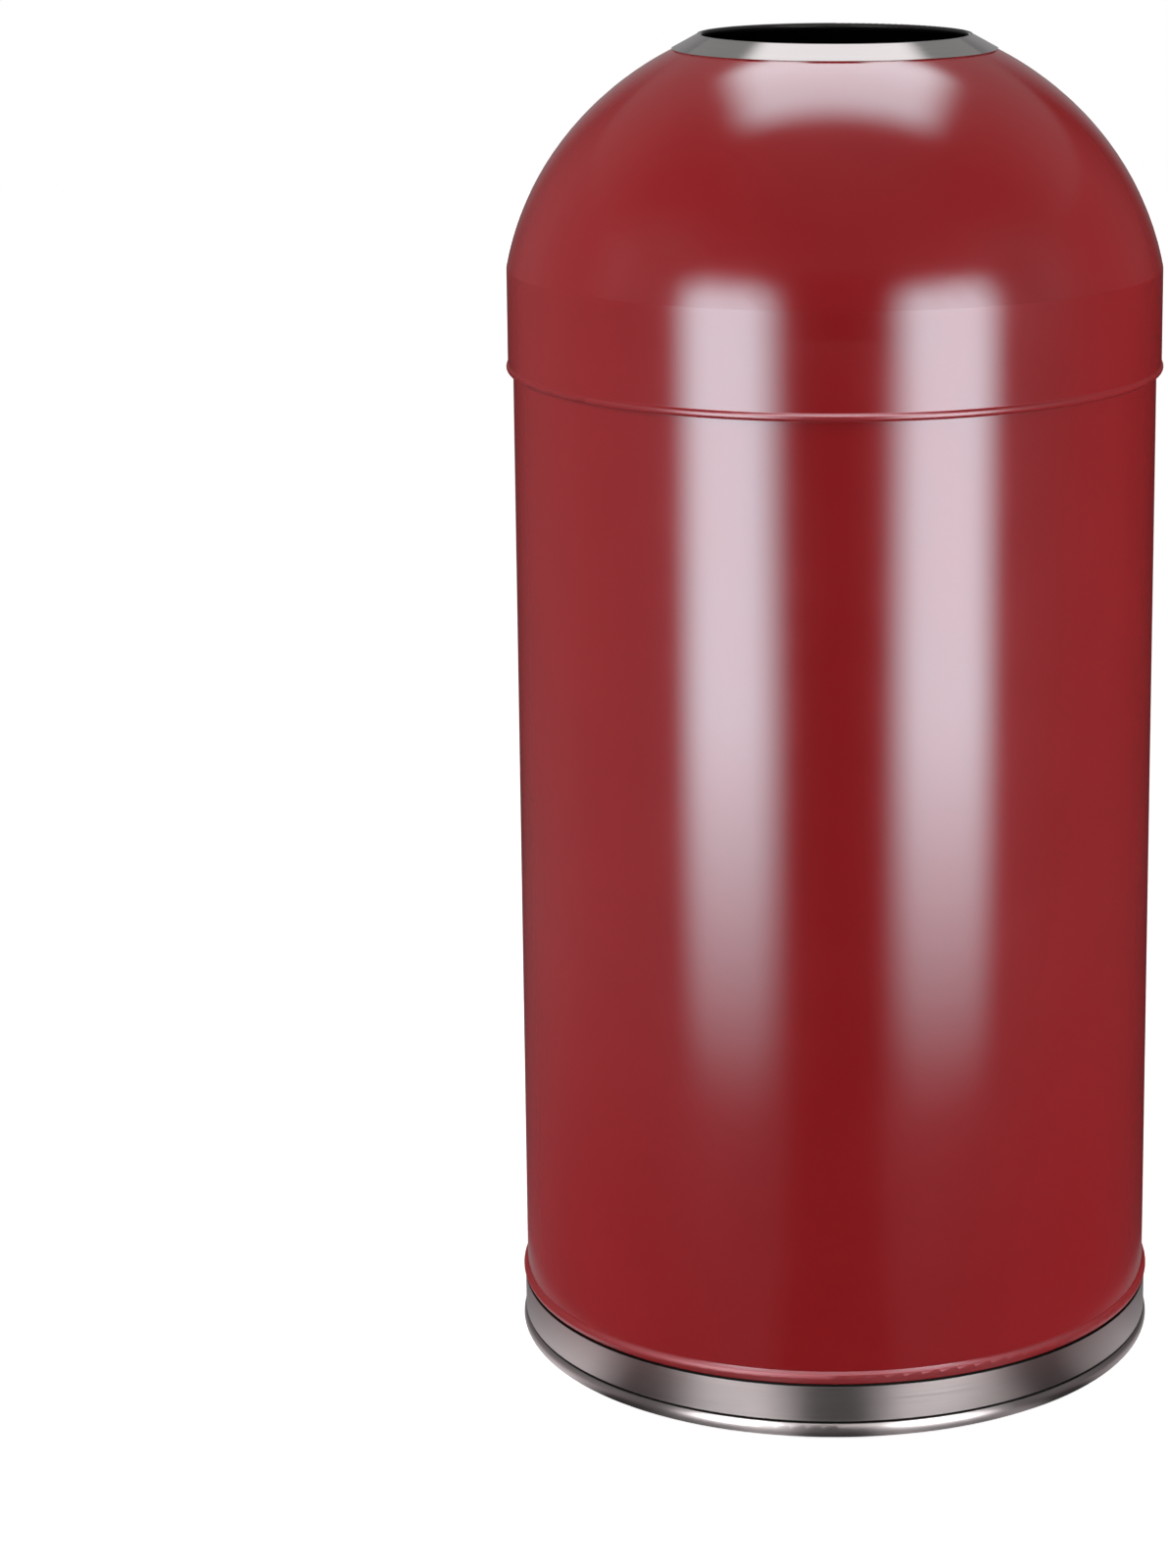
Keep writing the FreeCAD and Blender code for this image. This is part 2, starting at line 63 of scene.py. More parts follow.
camera_data = bpy.data.cameras.new("camera")
camera_data.sensor_width = sensor_mm
camera_data.lens = focal_px * sensor_mm / picture_height_px
camera_data.shift_x = (picture_width_px / 2 - bin_axis_px) / picture_height_px
camera_data.shift_y = (horizon_axis_px - picture_height_px / 2) / picture_height_px
camera = bpy.data.objects.new("camera", camera_data)
camera.location = (0, -camera_distance, camera_height)
camera.rotation_euler = (math.radians(90 - camera_pitch), 0, 0)
bpy.context.scene.collection.objects.link(camera)
bpy.context.scene.camera = camera
bpy.context.scene.view_settings.view_transform = "Standard"
print("lens", round(camera_data.lens, 1), "mm, shift", round(camera_data.shift_x, 3),
      round(camera_data.shift_y, 3))

# %% [markdown]
# ## Small helpers
# A colour is written as a hex value, as on a screen, but shaders work in linear light, so one
# function converts it. Another adds a node, sets it and links it, which keeps each material short
# enough to read. A pattern's scale is a count per metre, so it is worked out from the real size of
# one grain in millimetres.

# %% Small helpers


def linear(code):
    """The linear colour of a hex value such as 8c1a1e."""
    channels = [int(code[place:place + 2], 16) / 255 for place in (0, 2, 4)]
    return [c / 12.92 if c <= 0.04045 else ((c + 0.055) / 1.055) ** 2.4 for c in channels] + [1]


def per_metre(grain_mm):
    """Scale of a pattern whose grains are this many millimetres across."""
    return 1 / (grain_mm * mm)


def add(tree, kind, inputs=(), **settings):
    """A new node with its settings. An input is a value, or the output that it is linked to."""
    node = tree.nodes.new(kind)
    for name, value in settings.items():
        setattr(node, name, value)
    for socket, value in dict(inputs).items():
        if isinstance(value, bpy.types.NodeSocket):
            tree.links.new(value, node.inputs[socket])
        else:
            node.inputs[socket].default_value = value
    return node


def new_material(name, **sockets):
    """A material with one shader, whose sockets are set by name. Returns it, its tree and shader."""
    material = bpy.data.materials.new(name)
    material.use_nodes = True
    tree = material.node_tree
    shader = tree.nodes["Principled BSDF"]
    for socket, value in sockets.items():
        shader.inputs[socket.replace("_", " ")].default_value = value
    return material, tree, shader


def dress(material, *names):
    """Give a finish to solids of the frame."""
    for name in names:
        for place in nodes[name].material_slots:
            place.material = material
    print(material.name, "on", ", ".join(names))


print("a mid grey on the screen, 808080, is", round(linear("808080")[0], 3), "in linear light")

# %% [markdown]
# ## Round surfaces
# A turned piece is round, but its mesh is made of flat triangles, whose directions waver a little
# round the axis and would break a highlight into facets. The solids' meshes stay as they are, so
# the lacquer and the bright steels take most of that waver out of the surface's direction instead.
# What runs round the axis at a point is at right angles both to the axis and to the line from the
# axis to the point.

# %% Round surfaces
waver_taken_out = 0.9


def turned_normal(tree):
    """The surface's direction with most of what points round the axis taken out."""
    place = add(tree, "ShaderNodeTexCoord").outputs["Object"]
    facing = add(tree, "ShaderNodeNewGeometry").outputs["Normal"]
    around = add(tree, "ShaderNodeVectorMath", {0: (0, 0, 1), 1: place}, operation="CROSS_PRODUCT")
    around = add(tree, "ShaderNodeVectorMath", {0: around.outputs[0]}, operation="NORMALIZE")
    waver = add(tree, "ShaderNodeVectorMath", {0: facing, 1: around.outputs[0]},
                operation="DOT_PRODUCT")
    back = add(tree, "ShaderNodeMath", {0: waver.outputs["Value"], 1: -waver_taken_out},
               operation="MULTIPLY")
    return add(tree, "ShaderNodeVectorMath", {0: around.outputs[0], 1: back.outputs[0], 2: facing},
               operation="MULTIPLY_ADD").outputs[0]


print("share of the waver taken out:", waver_taken_out)

# %% [markdown]
# ## Red satin lacquer: its colour
# The can and the lid are mild steel sheet, sprayed red and baked. The hidden side of the sheet has
# only a thin black primer, so the mouth looks black. One material does for both: which side a point
# is on follows from the way its surface faces, because the inner side faces the bin's axis. The red
# shows through every reflection and warms it, so the gloss has a cool tint of its own, and the
# strips of light stay a pale lilac.

# %% Red satin lacquer: its colour
lacquer_colour = linear("a0181d")
lacquer_deep_colour = linear("971519")
primer_colour = linear("151515")
gloss_tint = (0.65, 0.93, 1, 1)
gloss_patch_mm = 60
facing_in_from, facing_in_to = -0.05, -0.25

lacquer, tree, shader = new_material("red_satin_lacquer", IOR=1.5, Specular_IOR_Level=0.75,
                                     Specular_Tint=gloss_tint)
place = add(tree, "ShaderNodeTexCoord").outputs["Object"]
facing = add(tree, "ShaderNodeNewGeometry").outputs["Normal"]
spoke = add(tree, "ShaderNodeVectorMath", {0: place, 1: (1, 1, 0)}, operation="MULTIPLY")
outward = add(tree, "ShaderNodeVectorMath", {0: spoke.outputs[0]}, operation="NORMALIZE")
side = add(tree, "ShaderNodeVectorMath", {0: facing, 1: outward.outputs[0]},
           operation="DOT_PRODUCT")
inner = add(tree, "ShaderNodeMapRange", {"Value": side.outputs["Value"],
                                         "From Min": facing_in_from, "From Max": facing_in_to})
patches = add(tree, "ShaderNodeTexNoise", {"Vector": place, "Scale": per_metre(gloss_patch_mm),
                                           "Detail": 3})
red = add(tree, "ShaderNodeMix", {"Factor": patches.outputs["Fac"], 6: lacquer_deep_colour,
                                  7: lacquer_colour}, data_type="RGBA")
print("red in linear light:", [round(channel, 3) for channel in lacquer_colour[:3]])

# %% [markdown]
# ## Red satin lacquer: the lap seam
# At the back the sheet's ends lap. Along the lap's two edges the lacquer pools and is duller, and
# a painted shade makes it darker, so they show as dark lines. They are too thin for geometry, so
# they are drawn by the distance from each edge, which is an angle round the axis times the can's
# radius. They end below the can's rolled top.

# %% Red satin lacquer: the lap seam
pooled_and_shaded_colour = linear("4a0b0e")
body_radius_mm = 190
seam_half_width_mm = 6
seam_top_mm = 585.5
seam_line_full_mm, seam_line_end_mm = 0.4, 1.1

parts = add(tree, "ShaderNodeSeparateXYZ", {0: place})
height = parts.outputs["Z"]
from_back = add(tree, "ShaderNodeMath", {0: parts.outputs["X"], 1: parts.outputs["Y"]},
                operation="ARCTAN2")
from_seam = add(tree, "ShaderNodeMath", {0: from_back.outputs[0]}, operation="ABSOLUTE")
from_edge = add(tree, "ShaderNodeMath", {0: from_seam.outputs[0],
                                         1: seam_half_width_mm / body_radius_mm},
                operation="SUBTRACT")
from_edge = add(tree, "ShaderNodeMath", {0: from_edge.outputs[0]}, operation="ABSOLUTE")
edge_line = add(tree, "ShaderNodeMapRange", {"Value": from_edge.outputs[0],
                                             "From Min": seam_line_end_mm / body_radius_mm,
                                             "From Max": seam_line_full_mm / body_radius_mm})
below_hem = add(tree, "ShaderNodeMath", {0: height, 1: seam_top_mm * mm}, operation="LESS_THAN")
# Pooled lacquer along the lap's edges, darkened with a painted shade.
pooled_and_shaded = add(tree, "ShaderNodeMath", {0: edge_line.outputs[0], 1: below_hem.outputs[0]},
             operation="MULTIPLY")
red = add(tree, "ShaderNodeMix", {"Factor": pooled_and_shaded.outputs[0], 6: red.outputs[2],
                                  7: pooled_and_shaded_colour}, data_type="RGBA")
paint = add(tree, "ShaderNodeMix", {"Factor": inner.outputs[0], 6: red.outputs[2],
                                    7: primer_colour}, data_type="RGBA")
tree.links.new(paint.outputs[2], shader.inputs["Base Color"])
print("the two pooled lines are", 2 * seam_half_width_mm, "mm apart")

# %% [markdown]
# ## Red satin lacquer: its gloss
# The lacquer is satin: it mirrors the lamps as broad soft strips, and shows its own deep red in
# between. It varies a little in gloss, and on the tight bends of the lid's bead and the can's lip it
# dries rougher, so they gleam more softly. Sprayed lacquer also has a faint ripple called orange
# peel, whose waves are about 2 mm long.

# %% Red satin lacquer: its gloss
wall_roughness = (0.14, 0.19)
lip_roughness, bead_roughness, pooled_roughness = 0.4, 0.25, 0.45
lip_top_mm, lip_blend_mm = 41.5, 1.5
bead_middle_mm, bead_half_mm = 596.7, 2.9
peel_mm, peel_depth_mm, peel_strength = 2.2, 0.01, 0.6

gloss = add(tree, "ShaderNodeMapRange", {"Value": patches.outputs["Fac"],
                                         "To Min": wall_roughness[0], "To Max": wall_roughness[1]})
above_lip = add(tree, "ShaderNodeMapRange", {"Value": height,
                                             "From Min": (lip_top_mm - lip_blend_mm) * mm,
                                             "From Max": lip_top_mm * mm})
on_bead = add(tree, "ShaderNodeMath", {0: height, 1: bead_middle_mm * mm, 2: bead_half_mm * mm},
              operation="COMPARE")
gloss = add(tree, "ShaderNodeMix", {"Factor": above_lip.outputs[0], 2: lip_roughness,
                                    3: gloss.outputs[0]})
gloss = add(tree, "ShaderNodeMix", {"Factor": on_bead.outputs[0], 2: gloss.outputs[0],
                                    3: bead_roughness})
gloss = add(tree, "ShaderNodeMix", {"Factor": pooled_and_shaded.outputs[0], 2: gloss.outputs[0],
                                    3: pooled_roughness})
tree.links.new(gloss.outputs[0], shader.inputs["Roughness"])
peel = add(tree, "ShaderNodeTexNoise", {"Vector": place, "Scale": per_metre(peel_mm), "Detail": 1})
ripple = add(tree, "ShaderNodeBump", {"Height": peel.outputs["Fac"], "Strength": peel_strength,
                                      "Distance": peel_depth_mm * mm,
                                      "Normal": turned_normal(tree)})
tree.links.new(ripple.outputs[0], shader.inputs["Normal"])
dress(lacquer, "body_shell", "dome_shell")

# %% [markdown]
# ## Lined stainless steel
# Brushing or turning leaves fine lines round the bin, which draw reflections out across them. A
# picture of scratches would have to be unwrapped and would repeat, so the lines are a noise that is
# long round the axis and short across. It takes the angle round the bin as one coordinate, and the
# radius and height as the others. Real lines are about a tenth of a millimetre apart, which is too
# fine to show here, so they are drawn three to five times as coarse. The same noise shifts the
# metal's shade and roughness a little. Painted shade is mixed over both, where a mask says so.

# %% Lined stainless steel
noise_low, noise_high = 0.3, 0.7


def around_axis(tree, stretch_mm, across_mm):
    """Coordinates for lines that run round the bin: long round the axis, short across."""
    place = add(tree, "ShaderNodeTexCoord").outputs["Object"]
    parts = add(tree, "ShaderNodeSeparateXYZ", {0: place})
    angle = add(tree, "ShaderNodeMath", {0: parts.outputs["Y"], 1: parts.outputs["X"]},
                operation="ARCTAN2")
    flat_place = add(tree, "ShaderNodeVectorMath", {0: place, 1: (1, 1, 0)}, operation="MULTIPLY")
    radius = add(tree, "ShaderNodeVectorMath", {0: flat_place.outputs[0]}, operation="LENGTH")
    turn = add(tree, "ShaderNodeCombineXYZ", {"X": angle.outputs[0], "Y": radius.outputs["Value"],
                                              "Z": parts.outputs["Z"]})
    scale = (body_radius_mm / stretch_mm, per_metre(across_mm), per_metre(across_mm))
    return add(tree, "ShaderNodeVectorMath", {0: turn.outputs[0], 1: scale},
               operation="MULTIPLY").outputs[0]


def lined_steel(name, colours, dull, line_mm, line_length_mm, depth_mm, anisotropy):
    """Stainless steel with fine lines round the axis. Dull is its least and most roughness."""
    steel, tree, shader = new_material(name, Metallic=1, Anisotropic=anisotropy,
                                       Anisotropic_Rotation=0.25)
    along = around_axis(tree, line_length_mm, line_mm)
    lines = add(tree, "ShaderNodeTexNoise", {"Vector": along, "Scale": 1, "Detail": 4})
    shade = add(tree, "ShaderNodeMix", {"Factor": lines.outputs["Fac"], 6: linear(colours[0]),
                                        7: linear(colours[1])}, data_type="RGBA")
    rough = add(tree, "ShaderNodeMapRange", {"Value": lines.outputs["Fac"], "From Min": noise_low,
                                             "From Max": noise_high, "To Min": dull[0],
                                             "To Max": dull[1]})
    scratch = add(tree, "ShaderNodeBump", {"Height": lines.outputs["Fac"],
                                           "Distance": depth_mm * mm,
                                           "Normal": turned_normal(tree)})
    tree.links.new(scratch.outputs[0], shader.inputs["Normal"])
    tangent = add(tree, "ShaderNodeTangent", direction_type="RADIAL", axis="Z")
    tree.links.new(tangent.outputs[0], shader.inputs["Tangent"])
    return steel, tree, shader, shade.outputs[2], rough.outputs[0]


def cover_with_painted_shade(tree, shader, shade, rough, mask, shade_colour, shade_roughness):
    """Paint a darker, duller shade over the metal's own shade and shine, where the mask is 1."""
    colour = add(tree, "ShaderNodeMix", {"Factor": mask, 6: shade, 7: linear(shade_colour)},
                 data_type="RGBA")
    tree.links.new(colour.outputs[2], shader.inputs["Base Color"])
    dull = add(tree, "ShaderNodeMix", {"Factor": mask, 2: rough, 3: shade_roughness})
    tree.links.new(dull.outputs[0], shader.inputs["Roughness"])


print("a noise node's values lie mostly from", noise_low, "to", noise_high)

# %% [markdown]
# ## Brushed base band
# The base band is stainless sheet, brushed round the can: bare metal, fully metallic, with a pale
# warm grey. Painted shade darkens it under the can's lip and in the groove above the rolled foot.

# %% Brushed base band
under_lip_mm = (32.4, 32.9)
groove_foot_mm = (9.5, 9.9)
groove_top_mm = (11.5, 11.9)

band_steel, tree, shader, shade, rough = lined_steel(
    "brushed_stainless", colours=("ada3a2", "bcb3b1"), dull=(0.32, 0.38), line_mm=0.35,
    line_length_mm=60, depth_mm=0.001, anisotropy=0.85)
place = add(tree, "ShaderNodeTexCoord").outputs["Object"]
height = add(tree, "ShaderNodeSeparateXYZ", {0: place}).outputs["Z"]
under_lip = add(tree, "ShaderNodeMapRange", {"Value": height, "From Min": under_lip_mm[0] * mm,
                                             "From Max": under_lip_mm[1] * mm})
above_groove = add(tree, "ShaderNodeMapRange", {"Value": height,
                                                "From Min": groove_foot_mm[0] * mm,
                                                "From Max": groove_foot_mm[1] * mm})
below_groove = add(tree, "ShaderNodeMapRange", {"Value": height,
                                                "From Min": groove_top_mm[1] * mm,
                                                "From Max": groove_top_mm[0] * mm})
in_groove = add(tree, "ShaderNodeMath", {0: above_groove.outputs[0], 1: below_groove.outputs[0]},
                operation="MULTIPLY")
# Painted shade: dark, dull metal up under the lip and in the groove.
painted_shade = add(tree, "ShaderNodeMath", {0: under_lip.outputs[0], 1: in_groove.outputs[0]},
            operation="MAXIMUM")
cover_with_painted_shade(tree, shader, shade, rough, painted_shade.outputs[0], shade_colour="1a1816", shade_roughness=0.8)
dress(band_steel, "base_band")

# %% [markdown]
# ## Polished mouth ring
# The mouth ring was spun and polished, and is nearly a mirror, with only faint turning lines. Its
# innermost edge is duller, and a painted shade makes it darker.

# %% Polished mouth ring
shaded_edge_radius_mm = (79.8, 80.6)

ring_steel, tree, shader, shade, rough = lined_steel(
    "polished_stainless", colours=("c4c1bf", "cfcdcb"), dull=(0.07, 0.12), line_mm=0.5,
    line_length_mm=200, depth_mm=0.001, anisotropy=0.2)
place = add(tree, "ShaderNodeTexCoord").outputs["Object"]
flat_place = add(tree, "ShaderNodeVectorMath", {0: place, 1: (1, 1, 0)}, operation="MULTIPLY")
radius = add(tree, "ShaderNodeVectorMath", {0: flat_place.outputs[0]}, operation="LENGTH")
# Painted shade along the ring's innermost edge, which is also duller.
shaded_edge = add(tree, "ShaderNodeMapRange", {"Value": radius.outputs["Value"],
                                          "From Min": shaded_edge_radius_mm[1] * mm,
                                          "From Max": shaded_edge_radius_mm[0] * mm})
cover_with_painted_shade(tree, shader, shade, rough, shaded_edge.outputs[0], shade_colour="565452", shade_roughness=0.45)
dress(ring_steel, "mouth_ring")

# %% [markdown]
# ## Galvanised sheet
# The pail, the can's floor and the collar are steel dipped in molten zinc. The zinc freezes into
# crystals called spangle, from 5 to 15 mm across, and each catches the light its own way. A noise
# alone would give clouds. A Voronoi pattern gives cells of that size, and the noise bends their
# edges out of straight. The random colour of a cell sets how pale and how dull it is, and a fine
# frost covers them all.

# %% Galvanised sheet
spangle_mm = 11
bend_mm, bend_grain_mm = 3, 6
frost_mm, frost_depth_mm = 1.2, 0.01
zinc_dark = linear("83878a")
zinc_light = linear("a9adaf")
zinc_roughness = (0.5, 0.68)

zinc_sheet, tree, shader = new_material("galvanised_sheet", Metallic=0.8)
place = add(tree, "ShaderNodeTexCoord").outputs["Object"]
wobble = add(tree, "ShaderNodeTexNoise", {"Vector": place, "Scale": per_metre(bend_grain_mm)})
bent = add(tree, "ShaderNodeVectorMath", {0: wobble.outputs["Color"], 1: (bend_mm * mm,) * 3,
                                          2: place}, operation="MULTIPLY_ADD")
crystals = add(tree, "ShaderNodeTexVoronoi", {"Vector": bent.outputs[0],
                                              "Scale": per_metre(spangle_mm)})
tone = add(tree, "ShaderNodeSeparateColor", {0: crystals.outputs["Color"]})
shade = add(tree, "ShaderNodeMix", {"Factor": tone.outputs["Red"], 6: zinc_dark, 7: zinc_light},
            data_type="RGBA")
tree.links.new(shade.outputs[2], shader.inputs["Base Color"])
rough = add(tree, "ShaderNodeMapRange", {"Value": tone.outputs["Green"],
                                         "To Min": zinc_roughness[0], "To Max": zinc_roughness[1]})
tree.links.new(rough.outputs[0], shader.inputs["Roughness"])
frost = add(tree, "ShaderNodeTexNoise", {"Vector": place, "Scale": per_metre(frost_mm),
                                         "Detail": 3})
grain = add(tree, "ShaderNodeBump", {"Height": frost.outputs["Fac"],
                                     "Distance": frost_depth_mm * mm})
tree.links.new(grain.outputs[0], shader.inputs["Normal"])
dress(zinc_sheet, "neck_ring", "base_tray", "pail_wall", "pail_floor")

# %% [markdown]
# ## The pail's lock seam
# A sheet-metal pail is rolled from flat and its two ends hook into each other in a flat lock seam.
# Three more layers of 0.6 mm sheet lie on the wall there, so outside it shows as a narrow strip with
# a step. A straight strip would sink into the hoops, so it is drawn as one section that is carried
# up the wall and over both of them. The wall leans outwards a little, so the radius grows with the
# height.

# %% Lock seam: its shape
pail_foot_mm, pail_rim_mm = 12.0, 564.5
pail_foot_radius_mm, pail_top_radius_mm = 158.0, 166.0
hoop_middles_mm = (177.75, 516.95)
hoop_half_mm, hoop_stand_mm = 3, 2.2
seam_above_foot_mm, seam_below_rim_mm = 0.5, 8
seam_bearing = 150
seam_section_mm = [(-4.5, -0.2), (-4.3, 1.4), (-3.7, 1.8), (1.5, 1.8), (2.0, 1.3), (2.2, 0.65),
                   (4.3, 0.6), (4.5, -0.2)]


def wall_radius(height):
    """Outside radius of the pail's wall, with its two hoops: flat in the middle, sloped beside."""
    share = (height - pail_foot_mm) / (pail_rim_mm - pail_foot_mm)
    radius = pail_foot_radius_mm + (pail_top_radius_mm - pail_foot_radius_mm) * share
    for middle in hoop_middles_mm:
        radius += hoop_stand_mm * min(1, max(0, 2 - abs(height - middle) / hoop_half_mm))
    return radius


heights = [pail_foot_mm + seam_above_foot_mm, pail_rim_mm - seam_below_rim_mm]
for middle in hoop_middles_mm:
    heights += [middle + step * hoop_half_mm for step in (-2, -1, 1, 2)]
heights.sort()
seam_angle = math.radians(seam_bearing)
outward = Vector((math.sin(seam_angle), -math.cos(seam_angle), 0))
across = Vector((-outward.y, outward.x, 0))
points = []
for height in heights:
    for side, stand in seam_section_mm:
        reach = wall_radius(height) + stand
        points.append(outward * reach + across * side + Vector((0, 0, height)))
row = len(seam_section_mm)
faces = [(start + side, start + side + 1, start + row + side + 1, start + row + side)
         for start in range(0, row * (len(heights) - 1), row) for side in range(row - 1)]
faces += [tuple(range(row)), tuple(range(len(points) - 1, len(points) - row - 1, -1))]
print("the seam has", len(heights), "sections from", heights[0], "to", heights[-1], "mm")

# %% [markdown]
# ## Pieces of the scene's own
# A piece that is added here gets its finish and rides on the body that it belongs to, so that it
# moves with the joints.

# %% Lock seam: the piece


def new_piece(name, points, faces, material, body, smooth=False):
    """A mesh piece in millimetres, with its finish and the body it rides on."""
    mesh = bpy.data.meshes.new(name)
    mesh.from_pydata([Vector(point) * mm for point in points], [], faces)
    mesh.materials.append(material)
    for face in mesh.polygons:
        face.use_smooth = smooth
    piece = bpy.data.objects.new(name, mesh)
    bpy.context.scene.collection.objects.link(piece)
    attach(piece, body)
    print(name, "has", len(faces), "faces and rides on", body)


new_piece("pail_lock_seam", points, faces, zinc_sheet, "pail")

# %% [markdown]
# ## Heat-tinted zinc
# The collar is held in the top of the can by spot welds. The heat of a weld tints the zinc brown and
# grey in small clouds, which a noise much finer than the weld gives.

# %% Heat-tinted zinc
tint_mm = 1.5
tint_colours = ("5d5650", "8a8583")
tint_roughness = (0.3, 0.55)

weld_steel, tree, shader = new_material("heat_tinted_zinc", Metallic=0.9)
place = add(tree, "ShaderNodeTexCoord").outputs["Object"]
tint = add(tree, "ShaderNodeTexNoise", {"Vector": place, "Scale": per_metre(tint_mm), "Detail": 2})
shade = add(tree, "ShaderNodeMix", {"Factor": tint.outputs["Fac"], 6: linear(tint_colours[0]),
                                    7: linear(tint_colours[1])}, data_type="RGBA")
tree.links.new(shade.outputs[2], shader.inputs["Base Color"])
rough = add(tree, "ShaderNodeMapRange", {"Value": tint.outputs["Fac"],
                                         "To Min": tint_roughness[0], "To Max": tint_roughness[1]})
tree.links.new(rough.outputs[0], shader.inputs["Roughness"])
print("made", weld_steel.name)

# %% [markdown]
# ## Spot welds on the collar
# The electrode leaves a shallow round dent with a raised edge. The welds show from close by when the
# lid is off, so they are meshes and not a bump in the zinc. Each is a small turned form whose axis
# points at the middle of the bin, and its section is a list of radii and how far the metal stands
# out there.

# %% Spot welds
weld_count = 16
weld_height_mm = 586.5
collar_inside_mm = 187.6
weld_section_mm = [(0.0, 0.1), (1.3, 0.12), (1.9, 0.2), (2.3, 0.42), (2.7, 0.4), (3.1, -0.05)]
weld_turns = 20

points = []
faces = []
for weld in range(weld_count):
    angle = 2 * math.pi * (weld + 0.5) / weld_count
    outward = Vector((math.cos(angle), math.sin(angle), 0))
    across = Vector((-outward.y, outward.x, 0))
    for radius, stand in weld_section_mm:
        for turn in range(weld_turns):
            spin = 2 * math.pi * turn / weld_turns
            points.append(outward * (collar_inside_mm - stand) + across * radius * math.cos(spin)
                          + Vector((0, 0, weld_height_mm + radius * math.sin(spin))))
    first = weld * len(weld_section_mm) * weld_turns
    for start in range(first, first + (len(weld_section_mm) - 1) * weld_turns, weld_turns):
        beyond = start + weld_turns
        for turn in range(weld_turns):
            after = (turn + 1) % weld_turns
            faces.append((start + turn, beyond + turn, beyond + after, start + after))
new_piece("collar_spot_welds", points, faces, weld_steel, "can", smooth=True)

# %% [markdown]
# ## Zinc-plated fasteners and galvanised wire
# Screws, washers, nuts, ears and rivets are plated in a bath, which leaves a thin, even, bluish zinc
# with tiny cloudy spots. The bail and the rim wire are galvanised wire, whose zinc is thicker, so
# its shine is a bit duller and its clouds are larger.

# %% Fasteners and wire
pit_depth_mm = 0.02


def plated(name, colours, dull, cloud_mm):
    """A plated steel whose shade and shine vary in small clouds."""
    metal, tree, shader = new_material(name, Metallic=1)
    place = add(tree, "ShaderNodeTexCoord").outputs["Object"]
    clouds = add(tree, "ShaderNodeTexNoise", {"Vector": place, "Scale": per_metre(cloud_mm),
                                              "Detail": 4})
    shade = add(tree, "ShaderNodeMix", {"Factor": clouds.outputs["Fac"], 6: linear(colours[0]),
                                        7: linear(colours[1])}, data_type="RGBA")
    tree.links.new(shade.outputs[2], shader.inputs["Base Color"])
    rough = add(tree, "ShaderNodeMapRange", {"Value": clouds.outputs["Fac"], "From Min": noise_low,
                                             "From Max": noise_high, "To Min": dull[0],
                                             "To Max": dull[1]})
    tree.links.new(rough.outputs[0], shader.inputs["Roughness"])
    pits = add(tree, "ShaderNodeBump", {"Height": clouds.outputs["Fac"],
                                        "Distance": pit_depth_mm * mm})
    tree.links.new(pits.outputs[0], shader.inputs["Normal"])
    return metal


zinc_plate = plated("bright_zinc_plate", ("aeb3b8", "c6cacd"), dull=(0.24, 0.36), cloud_mm=2)
wire_zinc = plated("galvanised_wire", ("8e9295", "a8abad"), dull=(0.3, 0.45), cloud_mm=3)
dress(zinc_plate, "foot_washers", "foot_screws", "foot_nuts", "right_ear", "left_ear", "ear_rivets")
dress(wire_zinc, "pail_rim_wire", "pail_bail")

# %% [markdown]
# ## Rubber and plastic
# The feet are moulded black rubber, matt and slightly dusty. The barrel grip is moulded black
# polypropylene with a fine leather-like texture, shinier than the rubber. Shallow ribs run round
# the grip so that it doesn't slip, which is a wave along the grip's axis, the X axis.

# %% Rubber and plastic
dust_mm = 14


def moulded(name, colours, dull, grain_mm, depth_mm, ior, rib_mm=0, rib_depth_mm=0):
    """A moulded black part: its grain is a fine bump, and dust makes it paler in patches."""
    stuff, tree, shader = new_material(name, IOR=ior)
    place = add(tree, "ShaderNodeTexCoord").outputs["Object"]
    dust = add(tree, "ShaderNodeTexNoise", {"Vector": place, "Scale": per_metre(dust_mm),
                                            "Detail": 4})
    shade = add(tree, "ShaderNodeMix", {"Factor": dust.outputs["Fac"], 6: linear(colours[0]),
                                        7: linear(colours[1])}, data_type="RGBA")
    tree.links.new(shade.outputs[2], shader.inputs["Base Color"])
    rough = add(tree, "ShaderNodeMapRange", {"Value": dust.outputs["Fac"], "To Min": dull[0],
                                             "To Max": dull[1]})
    tree.links.new(rough.outputs[0], shader.inputs["Roughness"])
    skin = add(tree, "ShaderNodeTexVoronoi", {"Vector": place, "Scale": per_metre(grain_mm)})
    grain = add(tree, "ShaderNodeBump", {"Height": skin.outputs["Distance"],
                                         "Distance": depth_mm * mm})
    if rib_mm:
        parts = add(tree, "ShaderNodeSeparateXYZ", {0: place})
        phase = add(tree, "ShaderNodeMath", {0: parts.outputs["X"],
                                             1: 2 * math.pi / (rib_mm * mm)},
                    operation="MULTIPLY")
        wave = add(tree, "ShaderNodeMath", {0: phase.outputs[0]}, operation="SINE")
        grain = add(tree, "ShaderNodeBump", {"Height": wave.outputs[0],
                                             "Distance": rib_depth_mm * mm,
                                             "Normal": grain.outputs[0]})
    tree.links.new(grain.outputs[0], shader.inputs["Normal"])
    return stuff


rubber = moulded("moulded_rubber", ("161616", "24231f"), dull=(0.65, 0.85), grain_mm=0.8,
                 depth_mm=0.05, ior=1.52)
polypropylene = moulded("moulded_polypropylene", ("141415", "1d1d1e"), dull=(0.38, 0.5),
                        grain_mm=0.9, depth_mm=0.06, ior=1.49, rib_mm=5, rib_depth_mm=0.25)
dress(rubber, "rubber_foot_1", "rubber_foot_2", "rubber_foot_3", "rubber_foot_4")
dress(polypropylene, "bail_grip")

